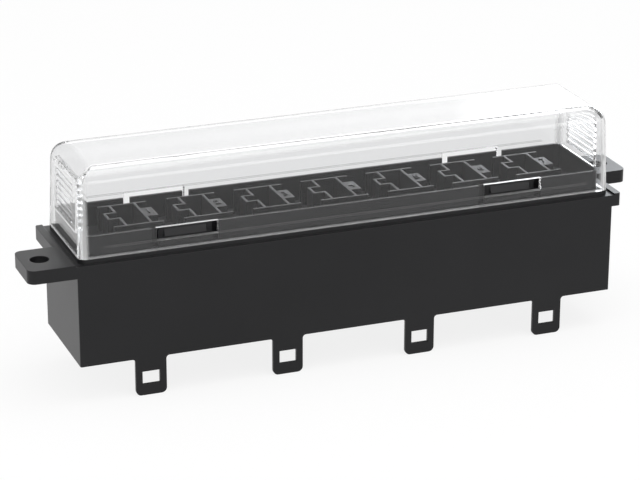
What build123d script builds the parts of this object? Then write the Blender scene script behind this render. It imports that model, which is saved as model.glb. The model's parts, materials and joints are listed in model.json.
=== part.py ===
import os
from math import radians, tan

from build123d import *

os.makedirs("parts", exist_ok=True)

# All sizes are in millimetres. X runs along the row of sockets, Y from front to back, Z up.
# The origin is midway between the tips of the hanging tabs.

# Blade fuses that the holder takes, standing with their blades side by side along Y
positions = 7
pitch = 25.0
fuse_length = 19.1
blade_width = 5.2
blade_thickness = 0.65
blade_spacing = 9.3

# Lower box of the housing, open underneath
end_margin = 24.9
body_depth = 42.2
body_height = 32.3
body_wall = 2.2
body_edge_radius = 0.6

# Flange round the top of the box, with a rim along each short edge
flange_overhang = 3.2
flange_thickness = 4.2
flange_corner_radius = 1.0
rim_width = 2.6
rim_height = 0.6

# Screw ears, on opposite corners
ear_length = 13.6
ear_width = 20.2
ear_corner_radius = 2.8
screw_hole_diameter = 6.6
screw_hole_inset = 6.5

# Tabs that hang from the front and back walls
tab_drop = 13.75
tab_width = 11.0
tab_thickness = 1.2
tab_tip_radius = 1.9
tab_root_radius = 1.2
tab_window_width = 6.3
tab_window_height = 4.8
tab_window_lift = 4.0

# Skirt inside the cover, and the ledge that the cover sits on
skirt_end_margin = 21.2
skirt_depth = 33.4
skirt_height = 8.7
skirt_wall = 1.0
skirt_corner_radius = 3.2
ledge_height = 1.75

# Spring tongues cut from the skirt, each with a catch on its outer face
tongue_inset = 35.6
tongue_width = 19.2
relief_width = 2.5
catch_width = 15.0
catch_height = 2.6
catch_play = 0.25
catch_gap = 0.2

# Open sockets, walled up to the height of the skirt
deck_thickness = 2.5
socket_wall = 0.9
socket_width = 8.0
fuse_play = 0.2
bar_overhang = 3.9
pocket_length = 6.6
pocket_shift = 0.3
pad_length = 8.2
pad_skin = 1.2
blade_play = 0.4
lead_in = 0.5

# Folded sheet terminals
sheet = 0.4
blade_grip_gap = 0.05
roll_radius = 0.9
roll_sweep = 250
receptacle_width = 6.6
receptacle_length = 8.5
spine_width = 2.4
neck_length = 2.0
crimp_rise = 2.0
fold_radius = 0.6
wire_crimp_width = 3.8
wire_crimp_length = 4.5
crimp_gap = 1.2
jacket_crimp_width = 4.8
jacket_crimp_length = 4.0
lance_width = 1.6
lance_length = 3.2
lance_reach = 0.9
lance_start = 3.0

# Chambers that hold the terminals
chamber_play = 0.25
tower_wall = 1.0
lance_play = 0.1
lance_side_play = 0.3
terminal_head_gap = 0.1
bay_depth = 9.0
rib_thickness = 1.2
rib_drop = 14.0

# Clear cover
cover_wall = 1.9
cover_side_gap = 1.4
cover_end_gap = 0.7
cover_height = 30.9
cover_corner_radius = 3.0
cover_crown_radius = 6.2
cover_end_draft = 2.1
cover_side_draft = 2.2
window_width = 22.1
window_height = 4.6
window_lift = 3.4

# Ribbed grip panel in each end of the cover, pressed inwards
grip_width = 21.6
grip_height = 14.8
grip_inset = 1.1
grip_lift = 0.3
grip_ribs = 6
grip_rib_pitch = 2.2
grip_rib_height = 0.9
grip_rib_reach = 0.6
grip_rib_start = 1.6

# Sizes along the row
row_half = (positions - 1) * pitch / 2
body_half = row_half + end_margin
flange_half = body_half + flange_overhang
skirt_half = row_half + skirt_end_margin
ear_tip = flange_half + ear_length
ear_hole_x = ear_tip - screw_hole_inset
ear_middle_y = (body_depth - ear_width) / 2
tongue_x = skirt_half - tongue_inset

# Levels
body_bottom = tab_drop
flange_bottom = body_bottom + body_height
flange_top = flange_bottom + flange_thickness
rim_top = flange_top + rim_height
ledge_top = flange_top + ledge_height
skirt_top = flange_top + skirt_height
deck_bottom = flange_top - deck_thickness
tower_bottom = body_bottom + bay_depth

# Sockets
socket_length = fuse_length + 2 * fuse_play
side_wall_x = socket_width / 2 + socket_wall
bar_half = side_wall_x + bar_overhang
bar_y = (socket_length + socket_wall) / 2
blade_rows = (("front", -blade_spacing / 2), ("back", blade_spacing / 2))

# Terminals: the base of the fold lies on one side of the blade, the rolls on the other
base_x = -(blade_thickness / 2 + blade_grip_gap + sheet / 2)
roll_x = base_x + roll_radius
terminal_low_x = base_x - sheet / 2
terminal_high_x = roll_x + roll_radius + sheet / 2
terminal_top = deck_bottom - terminal_head_gap
terminal_x = (terminal_low_x + terminal_high_x) / 2
chamber_width = terminal_high_x - terminal_low_x + 2 * chamber_play
chamber_length = receptacle_width + 2 * chamber_play
tower_width = chamber_width + 2 * tower_wall
tower_length = blade_spacing + chamber_length + 2 * tower_wall
lance_top = terminal_top - lance_start
lance_tip = lance_top - lance_length

# Cover
cover_half = skirt_half + cover_end_gap + cover_wall
cover_half_depth = skirt_depth / 2 + cover_side_gap + cover_wall
cover_top = ledge_top + cover_height
window_bottom = ledge_top + window_lift
end_slope = tan(radians(cover_end_draft))
side_slope = tan(radians(cover_side_draft))
bulge_bottom = skirt_top + grip_lift
grip_bottom = bulge_bottom + cover_wall
grip_top = grip_bottom + grip_height


def socket_walls():
    """Walls of every socket, drawn on the deck."""
    with GridLocations(pitch, pitch, positions, 1):
        Rectangle(2 * side_wall_x, socket_length + 2 * socket_wall)
        with Locations((0, -bar_y), (0, bar_y)):
            Rectangle(2 * bar_half, socket_wall)
        with Locations((-bar_half / 2, pocket_shift)):
            Rectangle(bar_half, pocket_length)
        with Locations((bar_half / 2, 0)):
            Rectangle(bar_half, pad_length)
        Rectangle(socket_width, socket_length, mode=Mode.SUBTRACT)
        with Locations(((socket_wall - bar_half) / 2, pocket_shift)):
            Rectangle(bar_half - socket_wall, pocket_length - 2 * socket_wall, mode=Mode.SUBTRACT)


def every_other_socket():
    """Places of the tabs along a long wall, under the first socket, the third and so on."""
    return GridLocations(2 * pitch, 1, (positions + 1) // 2, 1)


with BuildPart() as housing:
    # Box and flange
    with BuildSketch(Plane.XY.offset(body_bottom)):
        RectangleRounded(2 * body_half, body_depth, body_edge_radius)
    extrude(amount=body_height)
    with BuildSketch(Plane.XY.offset(flange_bottom)):
        RectangleRounded(2 * flange_half, body_depth, flange_corner_radius)
    extrude(amount=flange_thickness)

    # Rims along the short edges
    with BuildSketch(Plane.XY.offset(flange_top)):
        RectangleRounded(2 * flange_half, body_depth, flange_corner_radius)
        Rectangle(2 * (flange_half - rim_width), body_depth, mode=Mode.SUBTRACT)
    extrude(amount=rim_height)

    # Ears, the left one at the front and the right one at the back
    for side in (-1, 1):
        with BuildSketch(Plane.XY.offset(flange_bottom)) as ear:
            with Locations((side * (ear_tip + flange_half - rim_width) / 2, side * ear_middle_y)):
                Rectangle(ear_length + rim_width, ear_width)
            tip_corners = ear.vertices().group_by(Axis.X)[-1 if side > 0 else 0]
            fillet(tip_corners, ear_corner_radius)
            with Locations((side * ear_hole_x, side * ear_middle_y)):
                Circle(screw_hole_diameter / 2, mode=Mode.SUBTRACT)
        extrude(amount=rim_top - flange_bottom)

    # Ledge under the cover, and the skirt standing on it
    with BuildSketch(Plane.XY.offset(flange_top)):
        RectangleRounded(2 * cover_half, 2 * cover_half_depth, cover_corner_radius)
        RectangleRounded(
            2 * (skirt_half - skirt_wall),
            skirt_depth - 2 * skirt_wall,
            skirt_corner_radius - skirt_wall,
            mode=Mode.SUBTRACT,
        )
    extrude(amount=ledge_height)
    with BuildSketch(Plane.XY.offset(flange_top)):
        RectangleRounded(2 * skirt_half, skirt_depth, skirt_corner_radius)
        RectangleRounded(
            2 * (skirt_half - skirt_wall),
            skirt_depth - 2 * skirt_wall,
            skirt_corner_radius - skirt_wall,
            mode=Mode.SUBTRACT,
        )
    extrude(amount=skirt_height)

    # Relief slots that free the tongues
    with BuildSketch(Plane.XY.offset(ledge_top)):
        with GridLocations(2 * tongue_x, skirt_depth - skirt_wall, 2, 2):
            with GridLocations(tongue_width + relief_width, 1, 2, 1):
                Rectangle(relief_width, 2 * skirt_wall)
    extrude(amount=skirt_height, mode=Mode.SUBTRACT)

    # Catches, flat underneath and sloping back to the tongue above
    catch_bottom = window_bottom + catch_gap
    catch_rise = catch_bottom + catch_height - ledge_top
    catch_reach = cover_side_gap - catch_rise * side_slope - catch_play
    for side in (-1, 1):
        for x in (-tongue_x, tongue_x):
            with BuildSketch(Plane.YZ.offset(x)):
                root = side * (skirt_depth / 2 - skirt_wall / 2)
                Polygon(
                    (root, catch_bottom),
                    (side * (skirt_depth / 2 + catch_reach), catch_bottom),
                    (side * (skirt_depth / 2), catch_bottom + catch_height),
                    (root, catch_bottom + catch_height),
                    align=None,
                )
            extrude(amount=catch_width / 2, both=True)

    # Sockets
    with BuildSketch(Plane.XY.offset(flange_top)):
        socket_walls()
    extrude(amount=skirt_height)

    # Hollow of the box
    with BuildSketch(Plane.XY.offset(body_bottom)):
        Rectangle(2 * (body_half - body_wall), body_depth - 2 * body_wall)
    extrude(amount=deck_bottom - body_bottom, mode=Mode.SUBTRACT)

    # Stiffening ribs under the deck
    with BuildSketch(Plane.XY.offset(deck_bottom - rib_drop)):
        with GridLocations(pitch, 1, positions, 1):
            with Locations((terminal_x, 0)):
                Rectangle(rib_thickness, body_depth - body_wall)
    extrude(amount=rib_drop)

    # Towers with a chamber for each terminal
    with BuildSketch(Plane.XY.offset(tower_bottom)):
        with GridLocations(pitch, 1, positions, 1):
            with Locations((terminal_x, 0)):
                Rectangle(tower_width, tower_length)
    extrude(amount=deck_bottom - tower_bottom)
    with BuildSketch(Plane.XY.offset(tower_bottom)):
        with GridLocations(pitch, blade_spacing, positions, 2):
            with Locations((terminal_x, 0)):
                Rectangle(chamber_width, chamber_length)
    extrude(amount=deck_bottom - tower_bottom, mode=Mode.SUBTRACT)

    # Windows in the towers, with a shoulder under the tip of each lance
    with BuildSketch(Plane.XY.offset(lance_tip - lance_play)):
        with GridLocations(pitch, blade_spacing, positions, 2):
            with Locations((terminal_x - (chamber_width + tower_wall) / 2, 0)):
                Rectangle(2 * tower_wall, lance_width + 2 * lance_side_play)
    extrude(amount=lance_length + lance_play, mode=Mode.SUBTRACT)

    # Slots for the blades, with a lead in at the top
    with BuildSketch(Plane.XY.offset(deck_bottom)):
        with GridLocations(pitch, blade_spacing, positions, 2):
            Rectangle(blade_thickness + 2 * blade_play, blade_width + 2 * blade_play)
    extrude(amount=deck_thickness, mode=Mode.SUBTRACT)
    with BuildSketch(Plane.XY.offset(flange_top)):
        with GridLocations(pitch, blade_spacing, positions, 2):
            Rectangle(
                blade_thickness + 2 * (blade_play + lead_in),
                blade_width + 2 * (blade_play + lead_in),
            )
    extrude(amount=-lead_in, taper=45, mode=Mode.SUBTRACT)

    # Cores that hollow the number pads from below
    with BuildSketch(Plane.XY.offset(deck_bottom)):
        with GridLocations(pitch, 1, positions, 1):
            with Locations(((side_wall_x + bar_half - socket_wall) / 2, 0)):
                Rectangle(bar_overhang - socket_wall, pad_length - 2 * socket_wall)
    extrude(amount=skirt_top - pad_skin - deck_bottom, mode=Mode.SUBTRACT)

    # Tabs along the front and the back
    for side in (-1, 1):
        with BuildSketch(Plane.XZ.offset(-side * body_depth / 2)) as tabs:
            with Locations((0, tab_drop + tab_root_radius)):
                Rectangle(2 * (body_half - body_edge_radius), 2 * tab_root_radius)
            with every_other_socket():
                with Locations((0, tab_drop / 2)):
                    Rectangle(tab_width, tab_drop)
            fillet(tabs.vertices().group_by(Axis.Y)[1].sort_by(Axis.X)[1:-1], tab_root_radius)
            fillet(tabs.vertices().group_by(Axis.Y)[0], tab_tip_radius)
            with every_other_socket():
                with Locations((0, tab_window_lift + tab_window_height / 2)):
                    Rectangle(tab_window_width, tab_window_height, mode=Mode.SUBTRACT)
        extrude(amount=side * tab_thickness)

housing.part.label = "housing"
export_step(housing.part, "parts/housing.step")


def crowned_block(inward, top):
    """Tapered block with a rounded crown, set inwards from the outside of the cover."""
    with BuildPart() as block:
        for level in (ledge_top, top):
            rise = level - ledge_top
            with BuildSketch(Plane.XY.offset(level)):
                Rectangle(
                    2 * (cover_half - inward - rise * end_slope),
                    2 * (cover_half_depth - inward - rise * side_slope),
                )
        loft()
        fillet(block.faces().sort_by(Axis.Z)[-1].edges(), cover_crown_radius - inward)
    return block.part


def end_slab(low, high, outer, inner, side):
    """Profile that follows the slope of an end wall, between two depths below its face."""
    low_face = cover_half - (low - ledge_top) * end_slope
    high_face = cover_half - (high - ledge_top) * end_slope
    Polygon(
        (side * (low_face - outer), low),
        (side * (high_face - outer), high),
        (side * (high_face - inner), high),
        (side * (low_face - inner), low),
        align=None,
    )


with BuildPart() as cover:
    # Thin shell, open underneath, rounded at its outer corners
    add(crowned_block(0, cover_top))
    upright = cover.edges().filter_by(lambda edge: edge.bounding_box().size.Z > cover_wall)
    fillet(upright, cover_corner_radius)
    add(crowned_block(cover_wall, cover_top - cover_wall), mode=Mode.SUBTRACT)

    # Windows for the catches, front and back
    with BuildSketch(Plane.XZ):
        with Locations((0, window_bottom + window_height / 2)):
            with GridLocations(2 * tongue_x, 1, 2, 1):
                Rectangle(window_width, window_height)
    extrude(amount=cover_half_depth, both=True, mode=Mode.SUBTRACT)

    # Grip panels pressed into the ends
    for side in (-1, 1):
        with BuildSketch(Plane.XZ):
            end_slab(bulge_bottom, grip_top + cover_wall, cover_wall / 2, grip_inset + cover_wall, side)
        extrude(amount=grip_width / 2 + cover_wall, both=True)
        with BuildSketch(Plane.XZ):
            end_slab(grip_bottom, grip_top, -grip_inset, grip_inset, side)
        extrude(amount=grip_width / 2, both=True, mode=Mode.SUBTRACT)
        with BuildSketch(Plane.XZ):
            for index in range(grip_ribs):
                rib_low = grip_bottom + grip_rib_start + index * grip_rib_pitch
                end_slab(
                    rib_low,
                    rib_low + grip_rib_height,
                    grip_inset - grip_rib_reach,
                    grip_inset + cover_wall / 2,
                    side,
                )
        extrude(amount=grip_width / 2, both=True)

cover.part.label = "cover"
export_step(cover.part, "parts/cover.step")

with BuildPart() as terminal:
    # Receptacle: a flat base with both edges rolled over the blade
    with BuildSketch(Plane.XY.offset(terminal_top)):
        flat_half = receptacle_width / 2 - sheet / 2 - roll_radius
        with BuildLine():
            Line((base_x, -flat_half), (base_x, flat_half))
            CenterArc((roll_x, flat_half), roll_radius, 180, -roll_sweep)
            CenterArc((roll_x, -flat_half), roll_radius, 180, roll_sweep)
        trace(line_width=sheet)
    extrude(amount=-receptacle_length)

    # Spine from the receptacle to the crimps
    crimp_length = neck_length + wire_crimp_length + crimp_gap + jacket_crimp_length
    with BuildSketch(Plane.XY.offset(terminal_top)):
        with Locations((base_x, 0)):
            Rectangle(sheet, spine_width)
    extrude(amount=-(receptacle_length + crimp_length))

    # Crimps for the wire and its jacket, as open folded channels
    wire_crimp_top = terminal_top - receptacle_length - neck_length
    jacket_crimp_top = wire_crimp_top - wire_crimp_length - crimp_gap
    for top, width, length in (
        (wire_crimp_top, wire_crimp_width, wire_crimp_length),
        (jacket_crimp_top, jacket_crimp_width, jacket_crimp_length),
    ):
        with BuildSketch(Plane.XY.offset(top)):
            with BuildLine():
                wing_y = (width - sheet) / 2
                FilletPolyline(
                    (base_x + crimp_rise, -wing_y),
                    (base_x, -wing_y),
                    (base_x, wing_y),
                    (base_x + crimp_rise, wing_y),
                    radius=fold_radius,
                )
            trace(line_width=sheet)
        extrude(amount=-length)

    # Lance that springs out behind the shoulder of the chamber
    with BuildSketch(Plane.XZ):
        with BuildLine():
            Line((base_x, lance_top), (base_x - lance_reach, lance_tip))
        trace(line_width=sheet)
        with Locations((base_x - lance_reach, lance_tip - sheet)):
            Rectangle(2 * lance_reach, 2 * sheet, mode=Mode.SUBTRACT)
    extrude(amount=lance_width / 2, both=True)

for row, y in blade_rows:
    for index in range(positions):
        node = f"terminal_{index + 1}_{row}"
        with BuildPart() as fitted:
            with Locations((index * pitch - row_half, y, 0)):
                add(terminal.part)
        fitted.part.label = node
        export_step(fitted.part, f"parts/{node}.step")
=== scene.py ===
import json
import math

import bpy
from mathutils import Matrix, Vector


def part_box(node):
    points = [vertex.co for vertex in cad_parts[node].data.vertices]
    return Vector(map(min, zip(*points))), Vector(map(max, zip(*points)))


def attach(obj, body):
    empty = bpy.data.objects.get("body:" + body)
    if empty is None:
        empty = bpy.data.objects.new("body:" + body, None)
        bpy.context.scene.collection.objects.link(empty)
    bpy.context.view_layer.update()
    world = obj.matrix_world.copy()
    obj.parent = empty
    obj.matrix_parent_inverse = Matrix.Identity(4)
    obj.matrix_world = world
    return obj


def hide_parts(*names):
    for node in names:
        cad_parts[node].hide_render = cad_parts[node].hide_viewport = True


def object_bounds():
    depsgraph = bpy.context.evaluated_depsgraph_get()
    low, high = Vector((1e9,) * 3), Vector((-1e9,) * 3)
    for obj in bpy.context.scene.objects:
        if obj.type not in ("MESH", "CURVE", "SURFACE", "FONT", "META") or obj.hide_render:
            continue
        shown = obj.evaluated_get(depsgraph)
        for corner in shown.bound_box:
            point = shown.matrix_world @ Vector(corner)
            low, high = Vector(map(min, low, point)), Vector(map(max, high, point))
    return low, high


bl_info = {
    "name": "Fuse holder finish",
    "version": (1, 0, 0),
    "blender": (4, 5, 0),
    "location": "3D View > Sidebar > Fuse holder",
    "description": "Finishes, pad numbers and studio for a fuse holder with a clear cover",
    "category": "Object",
}

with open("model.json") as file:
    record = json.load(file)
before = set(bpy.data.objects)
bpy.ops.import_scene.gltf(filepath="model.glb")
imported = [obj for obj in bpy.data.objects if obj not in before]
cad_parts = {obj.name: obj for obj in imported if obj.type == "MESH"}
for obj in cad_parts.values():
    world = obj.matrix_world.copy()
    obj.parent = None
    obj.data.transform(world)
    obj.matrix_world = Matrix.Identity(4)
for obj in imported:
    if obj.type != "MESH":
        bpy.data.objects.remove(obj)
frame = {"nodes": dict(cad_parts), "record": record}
CAD_BOX = [list(corner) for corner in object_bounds()]

# The scene's property that holds the settings, and the materials made so far.
SETTINGS = "fuse_holder_finish"
MADE = {}

# Where things are on the part, in metres. A pad's middle is PAD_SHIFT along from its seat's.
SKIRT_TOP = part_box("housing")[1].z
PAD_SHIFT = 0.0066
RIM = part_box("cover")[0].z

# The cut faces of the cover's catch windows are found by their height, give or take
# CUT_BAND, and no farther along than WINDOW_REACH, which leaves out the end walls.
WINDOW_SILL = RIM + 0.0034
WINDOW_LINTEL = RIM + 0.0080
WINDOW_REACH = 0.09
CUT_BAND = 0.0001

# Where the painted glint on the cover's upright corners, a milky white look, begins and is
# full, from its middle.
CORNER_ALONG = (0.0950, 0.0965)
CORNER_ACROSS = (0.0160, 0.0175)

# Digits: the height of a capital as a share of the font's size, and the rounding of their
# edges as a share of how far they stand up.
CAP_HEIGHT_SHARE = 0.72
DIGIT_BEVEL_SHARE = 0.25

# Black moulding: its grain, and the slow marks that the flow of plastic leaves. A swing is
# how far a noise moves the roughness in all, and a relief is a bump's strength and depth.
GRAIN_SCALE = 2600.0
GRAIN_ROUGHNESS = 0.6
GRAIN_SWING = 0.05
GRAIN_RELIEF = (0.06, 0.00004)
FLOW_SCALE = 22.0
FLOW_DETAIL = 3.0
FLOW_SWING = 0.06
FLOW_STOPS = ((0.3, 0.0), (0.7, 1.0))
FLOW_SHADES = (0.9, 1.12)
EDGE_SAMPLES = 4

# Clear moulding: its waviness, the white grey of the painted glint along its lower edge and
# on its corners, the dark grey of the painted shade on the windows' cut faces, and what it
# lets through of a straight ray to a lamp.
WAVE_SCALE = 30.0
WAVE_RELIEF = (0.05, 0.0002)
GLINT_SHADE = 0.75
PAINTED_SHADE_GREY = 0.1
UNPOLISHED_ROUGHNESS = 0.5
STRAIGHT_SHADE = 0.98

# Tinned brass: lines of rolling, which are long upwards, and clouds in the tin.
LINE_STRETCH = (900.0, 900.0, 60.0)
LINE_SCALE = 1.0
LINE_SWING = 0.12
LINE_RELIEF = (0.15, 0.00003)
CLOUD_SCALE = 160.0
CLOUD_SHADE = 0.9

# The photograph's point of view.
CAMERA_TARGET = Vector((-0.00497, 0.00006, 0.03967))
CAMERA_ROLL = math.radians(0.132)
SENSOR_WIDTH = 36.0
CLIP_START = 0.01

# A pale glow behind the part on the right, seen only as a sheen on glossy faces.
GLOW_TOWARDS = Vector((0.699, 0.629, 0.342)).normalized()
GLOW_EDGE = (math.cos(math.radians(22.5)), math.cos(math.radians(16.0)))
SHEEN_EDGE = math.cos(math.radians(40.0))
GLOW_COLOUR = (0.9, 0.95, 1.0)

# The floor, just under the part, and the soft lamps, each with its place, width and depth.
FLOOR_REACH = 6.0
FLOOR_DROP = 0.0001
FLOOR_SHADE = 0.97
LAMP_AIM = Vector((0.0, 0.0, 0.04))
LAMPS = {
    "top": ((0.15, -0.15, 1.1), 1.0, 0.8),
    "side": ((-1.0, 0.1, 0.55), 0.6, 0.6),
    "front": ((0.411, -1.071, 0.4), 0.5, 0.4),
}

# Light runs up and down inside the clear walls, which takes this many bounces.
LIGHT_BOUNCES = 32


class Wire:
    """A shader socket that can be used in Python expressions."""

    def __init__(self, graph, socket):
        self.graph = graph
        self.socket = socket

    def _math(self, operation, first, second):
        values = {0: first, 1: second}
        return self.graph.add("ShaderNodeMath", {"operation": operation}, values)

    def __add__(self, other):
        return self._math("ADD", self, other)

    __radd__ = __add__

    def __sub__(self, other):
        return self._math("SUBTRACT", self, other)

    def __rsub__(self, other):
        return self._math("SUBTRACT", other, self)

    def __mul__(self, other):
        return self._math("MULTIPLY", self, other)

    __rmul__ = __mul__

    def at_most(self, other):
        """The lower of the two values."""
        return self._math("MINIMUM", self, other)

    def at_least(self, other):
        """The higher of the two values."""
        return self._math("MAXIMUM", self, other)

    def size(self):
        """The value without its sign."""
        return self._math("ABSOLUTE", self, 0.0)

    def is_below(self, other):
        """1 where the value is lower, 0 elsewhere."""
        return self._math("LESS_THAN", self, other)

    def is_within(self, centre, reach):
        """1 where the value is nearer to centre than reach, 0 elsewhere."""
        return (self - centre).size().is_below(reach)

    def rises(self, start, end):
        """From 0 at start to 1 at end, level before and after them."""
        return ((self - start) * (1.0 / (end - start))).at_least(0.0).at_most(1.0)

    def swing(self, width):
        """Turns noise from 0 to 1 into a value round 0 that is this wide in all."""
        return (self - 0.5) * width


class Graph:
    """The node tree of one material or of the world."""

    def __init__(self, owner):
        owner.use_nodes = True
        self.tree = owner.node_tree
        self.tree.nodes.clear()

    def add(self, kind, settings=None, values=None, result=0):
        """Adds a node: its settings first, then the values or links of its sockets."""
        node = self.tree.nodes.new(kind)
        for name, value in (settings or {}).items():
            if name == "stops":
                self._set_stops(node.color_ramp, value)
            else:
                setattr(node, name, value)
        for name, value in (values or {}).items():
            socket = self._socket(node.inputs, name)
            if isinstance(value, Wire):
                self.tree.links.new(value.socket, socket)
            else:
                socket.default_value = value
        if not node.outputs:
            return node
        return Wire(self, self._socket(node.outputs, result))

    @staticmethod
    def _socket(sockets, name):
        """The socket with this place, identifier or name."""
        if isinstance(name, int):
            return sockets[name]
        return next(s for s in sockets if name in (s.identifier, s.name))

    @staticmethod
    def _set_stops(ramp, stops):
        """Gives a ramp its grey stops, from pairs of place and shade."""
        while len(ramp.elements) < len(stops):
            ramp.elements.new(1.0)
        for element, (place, shade) in zip(ramp.elements, stops):
            element.position = place
            element.color = (shade, shade, shade, 1.0)

    def where(self, kind="Object"):
        """The place on the piece, or another kind of coordinate."""
        return self.add("ShaderNodeTexCoord", None, None, kind)

    def ray(self, kind):
        """1 for rays of this kind, 0 for others."""
        return self.add("ShaderNodeLightPath", None, None, f"Is {kind} Ray")

    def noise(self, where, scale, detail=2.0, roughness=0.5):
        """Soft noise from 0 to 1."""
        return self.add(
            "ShaderNodeTexNoise",
            None,
            {"Vector": where, "Scale": scale, "Detail": detail, "Roughness": roughness},
            "Fac",
        )

    def ramp(self, factor, stops):
        """A grey that follows the stops, given as pairs of place and shade."""
        return self.add("ShaderNodeValToRGB", {"stops": stops}, {"Fac": factor}, "Color")

    def mix(self, factor, first, second):
        """A colour between two colours."""
        return self.add(
            "ShaderNodeMix",
            {"data_type": "RGBA"},
            {"Factor_Float": factor, "A_Color": first, "B_Color": second},
            "Result_Color",
        )

    def relief(self, height, strength, depth, normal=None):
        """A bump of this depth, on top of another normal if one is given."""
        values = {"Strength": strength, "Distance": depth, "Height": height}
        if normal is not None:
            values["Normal"] = normal
        return self.add("ShaderNodeBump", None, values, "Normal")

    def principled(self, values):
        """A surface from the values or links of its sockets."""
        return self.add("ShaderNodeBsdfPrincipled", None, values)

    def unpolished(self, shade):
        """A plain grey surface that mirrors nothing clearly."""
        return self.principled({"Base Color": grey(shade), "Roughness": UNPOLISHED_ROUGHNESS})

    def blend(self, share, first, second):
        """The second surface where share is 1, the first where it is 0."""
        return self.add("ShaderNodeMixShader", None, {0: share, 1: first, 2: second})

    def show(self, surface, output="ShaderNodeOutputMaterial"):
        """Puts a surface out as the material's or the world's."""
        self.add(output, None, {"Surface": surface})


def material_for(name):
    """A new material and its graph."""
    material = bpy.data.materials.new(name)
    return material, Graph(material)


def finish_of(make):
    """The material that a function makes, made once."""
    if make.__name__ not in MADE:
        MADE[make.__name__] = make()
    return MADE[make.__name__]


def paint(obj, material):
    """Gives an object that one material."""
    obj.data.materials.clear()
    obj.data.materials.append(material)
    for polygon in getattr(obj.data, "polygons", ()):
        polygon.material_index = 0


def rgb(colour, factor=1.0):
    """A colour with full alpha, as sockets want it, its parts times the factor."""
    return (*(part * factor for part in colour), 1.0)


def grey(shade):
    """A plain grey with full alpha."""
    return rgb([shade] * 3)


class BlackPlasticSettings(bpy.types.PropertyGroup):
    colour: bpy.props.FloatVectorProperty(
        name="Colour",
        description="Base colour of the moulded housing",
        default=(0.012, 0.012, 0.013),
        subtype="COLOR",
        min=0,
        max=1,
    )
    roughness: bpy.props.FloatProperty(
        name="Roughness",
        description="How dull the moulded surface is",
        default=0.34,
        min=0,
        max=1,
        subtype="FACTOR",
    )
    gloss: bpy.props.FloatProperty(
        name="Gloss",
        description="How much light the surface mirrors, 0.5 for common plastic",
        default=0.22,
        min=0,
        max=1,
        subtype="FACTOR",
    )
    edge_radius: bpy.props.FloatProperty(
        name="Edge radius",
        description="How far the light rounds the moulded edges",
        default=0.00035,
        min=0,
        unit="LENGTH",
    )
    number_height: bpy.props.FloatProperty(
        name="Number height",
        description="Height of the digits on the pads",
        default=0.0034,
        min=0,
        unit="LENGTH",
    )
    number_rise: bpy.props.FloatProperty(
        name="Number rise",
        description="How far the digits stand up from the pads",
        default=0.00025,
        min=0,
        unit="LENGTH",
    )


class ClearPlasticSettings(bpy.types.PropertyGroup):
    colour: bpy.props.FloatVectorProperty(
        name="Tint",
        description="Tint of the clear cover",
        default=(0.918, 0.92, 0.924),
        subtype="COLOR",
        min=0,
        max=1,
    )
    refraction: bpy.props.FloatProperty(
        name="Refractive index",
        description="Refractive index of the cover's plastic",
        default=1.37,
        min=1,
        max=2,
    )
    roughness: bpy.props.FloatProperty(
        name="Roughness",
        description="How frosted the polished faces are",
        default=0.0,
        min=0,
        max=1,
        subtype="FACTOR",
    )
    # The frosted edge is a painted glint: a band of white grey along the cover's lower edge,
    # its height here and its strength below.
    edge_height: bpy.props.FloatProperty(
        name="Frosted edge",
        description="Height of the frosted band along the cover's lower edge",
        default=0.00035,
        min=0,
        unit="LENGTH",
    )
    edge_glint: bpy.props.FloatProperty(
        name="Edge haze",
        description="How white the frosted lower edge is",
        default=0.17,
        min=0,
        max=1,
        subtype="FACTOR",
    )
    # The corners' milky look is a painted glint: a white grey on the thick upright corners.
    corner_glint: bpy.props.FloatProperty(
        name="Corner haze",
        description="How milky the thick upright corners are",
        default=0.45,
        min=0,
        max=1,
        subtype="FACTOR",
    )
    # The window top and sill are painted shade: how much dark grey covers the upper and lower
    # cut faces of a catch window.
    lintel_shade: bpy.props.FloatProperty(
        name="Window top",
        description="How dull the upper cut face of a catch window is",
        default=0.5,
        min=0,
        max=1,
        subtype="FACTOR",
    )
    sill_shade: bpy.props.FloatProperty(
        name="Window sill",
        description="How dull the lower cut face of a catch window is",
        default=0.94,
        min=0,
        max=1,
        subtype="FACTOR",
    )
    rim_gap: bpy.props.FloatProperty(
        name="Rim gap",
        description="Air between the cover's rim and the ledge under it",
        default=0.00005,
        min=0.00001,
        unit="LENGTH",
    )


class TinnedBrassSettings(bpy.types.PropertyGroup):
    colour: bpy.props.FloatVectorProperty(
        name="Colour",
        description="Base colour of the tinned terminals",
        default=(0.74, 0.72, 0.68),
        subtype="COLOR",
        min=0,
        max=1,
    )
    roughness: bpy.props.FloatProperty(
        name="Roughness",
        description="How dull the tin is",
        default=0.28,
        min=0,
        max=1,
        subtype="FACTOR",
    )


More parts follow.
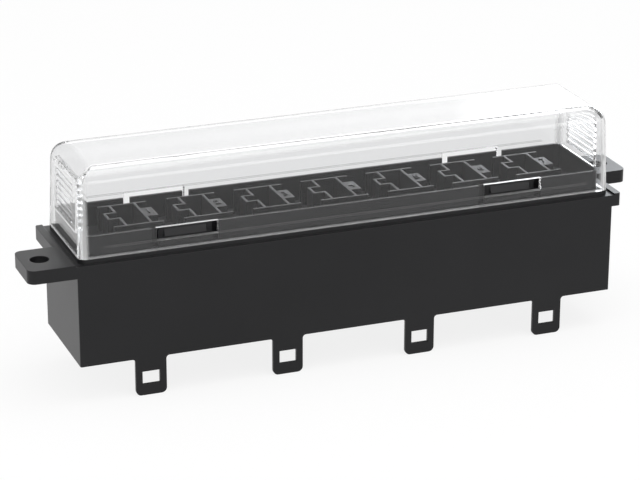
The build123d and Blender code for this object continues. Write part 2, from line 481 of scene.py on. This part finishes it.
class StudioSettings(bpy.types.PropertyGroup):
    lens: bpy.props.FloatProperty(
        name="Lens",
        description="Focal length on a sensor 36 mm wide",
        default=142.89,
        min=10,
        unit="CAMERA",
    )
    distance: bpy.props.FloatProperty(
        name="Camera distance",
        description="From the camera to the point that it looks at",
        default=0.9017,
        min=0.1,
        unit="LENGTH",
    )
    azimuth: bpy.props.FloatProperty(
        name="Camera azimuth",
        description="Turn of the camera round the part, 0 from the front",
        default=math.radians(-21.137),
        unit="ROTATION",
    )
    elevation: bpy.props.FloatProperty(
        name="Camera elevation",
        description="Height of the camera above the horizon, as an angle",
        default=math.radians(20.897),
        unit="ROTATION",
    )
    world_light: bpy.props.FloatProperty(
        name="Room light",
        description="Strength of the even light of the room",
        default=0.62,
        min=0,
    )
    shadow_share: bpy.props.FloatProperty(
        name="Shadow depth",
        description="How much of the part's shadow the pale floor keeps",
        default=0.16,
        min=0,
        max=1,
        subtype="FACTOR",
    )
    top_power: bpy.props.FloatProperty(
        name="Top light",
        description="Power of the soft light above the part",
        default=5.5,
        min=0,
        unit="POWER",
    )
    side_power: bpy.props.FloatProperty(
        name="Side light",
        description="Power of the soft light on the left",
        default=2.0,
        min=0,
        unit="POWER",
    )
    front_power: bpy.props.FloatProperty(
        name="Front light",
        description="Power of the small light in front of the part on the right",
        default=1.5,
        min=0,
        unit="POWER",
    )
    back_glow: bpy.props.FloatProperty(
        name="Back glow",
        description="Strength of the pale window that glossy faces mirror",
        default=5.5,
        min=0,
    )
    back_sheen: bpy.props.FloatProperty(
        name="Back sheen",
        description="Strength of the wide soft light round that window",
        default=0.7,
        min=0,
    )
    dimmed_behind: bpy.props.FloatProperty(
        name="Seen through the cover",
        description="How much darker the floor is where clear plastic shows it",
        default=0.09,
        min=0,
        max=1,
        subtype="FACTOR",
    )


class FinishSettings(bpy.types.PropertyGroup):
    black: bpy.props.PointerProperty(
        type=BlackPlasticSettings,
        name="Black plastic",
        description="Finish of the housing and its pad numbers",
    )
    clear: bpy.props.PointerProperty(
        type=ClearPlasticSettings,
        name="Clear plastic",
        description="Finish of the cover",
    )
    brass: bpy.props.PointerProperty(
        type=TinnedBrassSettings,
        name="Tinned brass",
        description="Finish of the terminals",
    )
    studio: bpy.props.PointerProperty(
        type=StudioSettings,
        name="Studio",
        description="Lights and camera",
    )


def settings():
    """The sizes and colours of this scene."""
    return getattr(bpy.context.scene, SETTINGS)


def black_plastic():
    """Satin black moulding: fine grain, faint flow marks and softened edges."""
    own = settings().black
    material, graph = material_for("black_plastic")
    where = graph.where()
    grain = graph.noise(where, GRAIN_SCALE, roughness=GRAIN_ROUGHNESS)
    flow = graph.noise(where, FLOW_SCALE, detail=FLOW_DETAIL)
    shades = [rgb(own.colour, factor) for factor in FLOW_SHADES]
    edge = graph.add(
        "ShaderNodeBevel", {"samples": EDGE_SAMPLES}, {"Radius": own.edge_radius}, "Normal"
    )
    surface = graph.principled(
        {
            "Base Color": graph.mix(graph.ramp(flow, FLOW_STOPS), *shades),
            "Roughness": own.roughness + flow.swing(FLOW_SWING) + grain.swing(GRAIN_SWING),
            "Specular IOR Level": own.gloss,
            "Normal": graph.relief(grain, *GRAIN_RELIEF, edge),
        }
    )
    graph.show(surface)
    return material


def clear_plastic():
    """Clear moulding that bends light and lets a lamp's light straight through, with a
    painted glint on its lower edge and corners and painted shade on its windows' cut faces.
    """
    own = settings().clear
    material, graph = material_for("clear_plastic")
    where = graph.where()
    polished = graph.principled(
        {
            "Base Color": rgb(own.colour),
            "Roughness": own.roughness,
            "IOR": own.refraction,
            "Transmission Weight": 1.0,
            "Normal": graph.relief(graph.noise(where, WAVE_SCALE), *WAVE_RELIEF),
        }
    )
    along, across, height = (
        graph.add("ShaderNodeSeparateXYZ", None, {0: where}, axis) for axis in "XYZ"
    )
    # Painted glint: a white grey mixed in along the lower edge and on the upright corners.
    corner = along.size().rises(*CORNER_ALONG) * across.size().rises(*CORNER_ACROSS)
    edge = height.is_below(RIM + own.edge_height)
    glint = (edge * own.edge_glint).at_least(corner * own.corner_glint)
    surface = graph.blend(glint, polished, graph.unpolished(GLINT_SHADE))
    # Painted shade: a dark grey mixed onto the upper and lower cut faces of the catch
    # windows; the band also crosses the long walls as a hairline.
    sill = height.is_within(WINDOW_SILL, CUT_BAND) * own.sill_shade
    lintel = height.is_within(WINDOW_LINTEL, CUT_BAND) * own.lintel_shade
    shaded = (sill + lintel) * along.size().is_below(WINDOW_REACH)
    surface = graph.blend(shaded, surface, graph.unpolished(PAINTED_SHADE_GREY))
    straight = graph.add("ShaderNodeBsdfTransparent", None, {"Color": grey(STRAIGHT_SHADE)})
    graph.show(graph.blend(graph.ray("Shadow"), surface, straight))
    return material


def tinned_brass():
    """Bright tin over brass sheet, with fine rolling lines."""
    own = settings().brass
    material, graph = material_for("tinned_brass")
    where = graph.where()
    stretched = graph.add(
        "ShaderNodeMapping", None, {"Vector": where, "Scale": LINE_STRETCH}, "Vector"
    )
    lines = graph.noise(stretched, LINE_SCALE)
    cloud = graph.noise(where, CLOUD_SCALE)
    surface = graph.principled(
        {
            "Base Color": graph.mix(cloud, rgb(own.colour, CLOUD_SHADE), rgb(own.colour)),
            "Metallic": 1.0,
            "Roughness": own.roughness + lines.swing(LINE_SWING),
            "Normal": graph.relief(lines, *LINE_RELIEF),
        }
    )
    graph.show(surface)
    return material


def lift_rim(mesh, gap):
    """Keeps a hairline of air under the rim, so that the walls carry light down to it."""
    for vertex in mesh.vertices:
        if vertex.co.z < RIM + gap / 2:
            vertex.co.z += gap


def let_light_travel(cycles):
    """Enough bounces for the light that runs inside the clear walls."""
    cycles.max_bounces = LIGHT_BOUNCES
    cycles.glossy_bounces = LIGHT_BOUNCES
    cycles.transmission_bounces = LIGHT_BOUNCES


def background_rays(graph):
    """1 for the camera's rays and for those that gloss and clear plastic send on."""
    seen = graph.ray("Camera") + graph.ray("Glossy") + graph.ray("Transmission")
    return seen.at_most(1.0)


def lay_floor(own):
    """A pale floor that keeps the part's soft shadow."""
    mesh = bpy.data.meshes.new("floor")
    signs = ((-1, -1), (1, -1), (1, 1), (-1, 1))
    corners = [(x * FLOOR_REACH, y * FLOOR_REACH, 0) for x, y in signs]
    mesh.from_pydata(corners, [], [(0, 1, 2, 3)])
    floor = bpy.data.objects.new("floor", mesh)
    bpy.context.scene.collection.objects.link(floor)
    floor.location.z = CAD_BOX[0][2] - FLOOR_DROP
    material, graph = material_for("floor")
    lit = graph.add("ShaderNodeBsdfDiffuse", None, {"Color": grey(FLOOR_SHADE)})
    strength = 1.0 - graph.ray("Transmission") * own.dimmed_behind
    glow = graph.add("ShaderNodeEmission", None, {"Color": grey(1.0), "Strength": strength})
    shown = background_rays(graph) * (1.0 - own.shadow_share)
    graph.show(graph.blend(shown, lit, glow))
    paint(floor, material)


def light_room(own):
    """Even light from the room, and a white backdrop for the camera and the clear cover."""
    world = bpy.data.worlds.new("room")
    bpy.context.scene.world = world
    graph = Graph(world)
    nearness = graph.add(
        "ShaderNodeVectorMath",
        {"operation": "DOT_PRODUCT"},
        {0: graph.where("Generated"), 1: GLOW_TOWARDS},
        "Value",
    )
    glow = nearness.rises(*GLOW_EDGE)
    sheen = nearness.rises(SHEEN_EDGE, 1.0)
    even = own.world_light + background_rays(graph) * (1.0 - own.world_light)
    mirrored = (glow * own.back_glow + sheen * own.back_sheen) * graph.ray("Glossy")
    colour = graph.mix(glow, grey(1.0), rgb(GLOW_COLOUR))
    back = graph.add(
        "ShaderNodeBackground", None, {"Color": colour, "Strength": even + mirrored}
    )
    graph.show(back, "ShaderNodeOutputWorld")


def hang_lamp(name, power, place, width, depth):
    """A soft rectangular lamp that faces the middle of the part."""
    lamp = bpy.data.lights.new(name, "AREA")
    lamp.shape = "RECTANGLE"
    lamp.size = width
    lamp.size_y = depth
    lamp.energy = power
    obj = bpy.data.objects.new(name, lamp)
    bpy.context.scene.collection.objects.link(obj)
    obj.location = place
    aim = LAMP_AIM - Vector(place)
    obj.rotation_euler = aim.to_track_quat("-Z", "Y").to_euler()


def set_camera(own):
    """The photograph's view."""
    camera = bpy.data.cameras.new("camera")
    camera.sensor_width = SENSOR_WIDTH
    camera.lens = own.lens
    camera.clip_start = CLIP_START
    obj = bpy.data.objects.new("camera", camera)
    bpy.context.scene.collection.objects.link(obj)
    az, el = own.azimuth, own.elevation
    back = Vector((math.sin(az) * math.cos(el), -math.cos(az) * math.cos(el), math.sin(el)))
    right = Vector((math.cos(az), math.sin(az), 0.0))
    above = back.cross(right)
    across = right * math.cos(CAMERA_ROLL) + above * math.sin(CAMERA_ROLL)
    upward = back.cross(across)
    place = CAMERA_TARGET + back * own.distance
    turn = Matrix((across, upward, back)).transposed().to_4x4()
    obj.matrix_world = Matrix.Translation(place) @ turn
    bpy.context.scene.camera = obj


class FUSE_HOLDER_OT_housing(bpy.types.Operator):
    """Gives the housing its satin black moulded finish"""

    bl_idname = "fuse_holder.housing"
    bl_label = "Housing"

    def execute(self, context):
        paint(frame["nodes"]["housing"], finish_of(black_plastic))
        return {"FINISHED"}


class FUSE_HOLDER_OT_cover(bpy.types.Operator):
    """Gives the cover its clear moulded finish"""

    bl_idname = "fuse_holder.cover"
    bl_label = "Cover"

    def execute(self, context):
        mesh = frame["nodes"]["cover"].data.copy()
        lift_rim(mesh, settings().clear.rim_gap)
        piece = bpy.data.objects.new("clear_cover", mesh)
        context.scene.collection.objects.link(piece)
        paint(piece, finish_of(clear_plastic))
        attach(piece, "lid")
        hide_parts("cover")
        return {"FINISHED"}


class FUSE_HOLDER_OT_terminals(bpy.types.Operator):
    """Gives every terminal its tinned finish"""

    bl_idname = "fuse_holder.terminals"
    bl_label = "Terminals"

    def execute(self, context):
        found = [obj for name, obj in frame["nodes"].items() if name.startswith("terminal_")]
        if not found:
            raise RuntimeError("the frame has no terminals")
        for obj in found:
            paint(obj, finish_of(tinned_brass))
        return {"FINISHED"}


class FUSE_HOLDER_OT_numbers(bpy.types.Operator):
    """Stands a raised digit on the pad beside each socket"""

    bl_idname = "fuse_holder.numbers"
    bl_label = "Pad numbers"

    def execute(self, context):
        own = settings().black
        seats = [m for m in frame["record"]["mounts"] if m["name"].startswith("fuse_seat_")]
        if not seats:
            raise RuntimeError("the record states no fuse seats")
        for seat in seats:
            digit = seat["name"].rsplit("_", 1)[1]
            curve = bpy.data.curves.new(f"pad_number_{digit}", "FONT")
            curve.body = digit
            curve.size = own.number_height / CAP_HEIGHT_SHARE
            curve.align_x = "CENTER"
            curve.align_y = "CENTER"
            curve.extrude = own.number_rise
            curve.bevel_depth = own.number_rise * DIGIT_BEVEL_SHARE
            obj = bpy.data.objects.new(f"pad_number_{digit}", curve)
            context.scene.collection.objects.link(obj)
            obj.location = (seat["pos_m"][0] + PAD_SHIFT, 0.0, SKIRT_TOP)
            paint(obj, finish_of(black_plastic))
            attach(obj, "base")
        return {"FINISHED"}


class FUSE_HOLDER_OT_studio(bpy.types.Operator):
    """Sets the pale floor, the soft lights and the camera"""

    bl_idname = "fuse_holder.studio"
    bl_label = "Studio"

    def execute(self, context):
        own = settings().studio
        lay_floor(own)
        light_room(own)
        for name, (place, width, depth) in LAMPS.items():
            hang_lamp(f"{name}_light", getattr(own, f"{name}_power"), place, width, depth)
        set_camera(own)
        context.scene.view_settings.view_transform = "Standard"
        let_light_travel(context.scene.cycles)
        return {"FINISHED"}


class FUSE_HOLDER_PT_finish(bpy.types.Panel):
    """Lists the steps of the fuse holder's finish"""

    bl_idname = "FUSE_HOLDER_PT_finish"
    bl_label = "Fuse holder"
    bl_space_type = "VIEW_3D"
    bl_region_type = "UI"
    bl_category = "Fuse holder"

    def draw(self, context):
        own = settings()
        for group in (own.black, own.clear, own.brass, own.studio):
            box = self.layout.box()
            for name in group.bl_rna.properties.keys():
                if name not in ("rna_type", "name"):
                    box.prop(group, name)
        for operator in OPERATORS:
            self.layout.operator(operator.bl_idname)


OPERATORS = (
    FUSE_HOLDER_OT_housing,
    FUSE_HOLDER_OT_cover,
    FUSE_HOLDER_OT_terminals,
    FUSE_HOLDER_OT_numbers,
    FUSE_HOLDER_OT_studio,
)
CLASSES = (
    BlackPlasticSettings,
    ClearPlasticSettings,
    TinnedBrassSettings,
    StudioSettings,
    FinishSettings,
    *OPERATORS,
    FUSE_HOLDER_PT_finish,
)


def register():
    """Adds the classes, and gives the scene its settings."""
    for cls in CLASSES:
        bpy.utils.register_class(cls)
    setattr(bpy.types.Scene, SETTINGS, bpy.props.PointerProperty(type=FinishSettings))


def unregister():
    """Takes the settings and the classes away again."""
    delattr(bpy.types.Scene, SETTINGS)
    for cls in reversed(CLASSES):
        bpy.utils.unregister_class(cls)


def main():
    """Dresses the frame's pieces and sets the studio."""
    register()
    bpy.ops.fuse_holder.housing()
    bpy.ops.fuse_holder.cover()
    bpy.ops.fuse_holder.terminals()
    bpy.ops.fuse_holder.numbers()
    bpy.ops.fuse_holder.studio()
    bpy.context.view_layer.update()


if __name__ == "__main__":
    main()
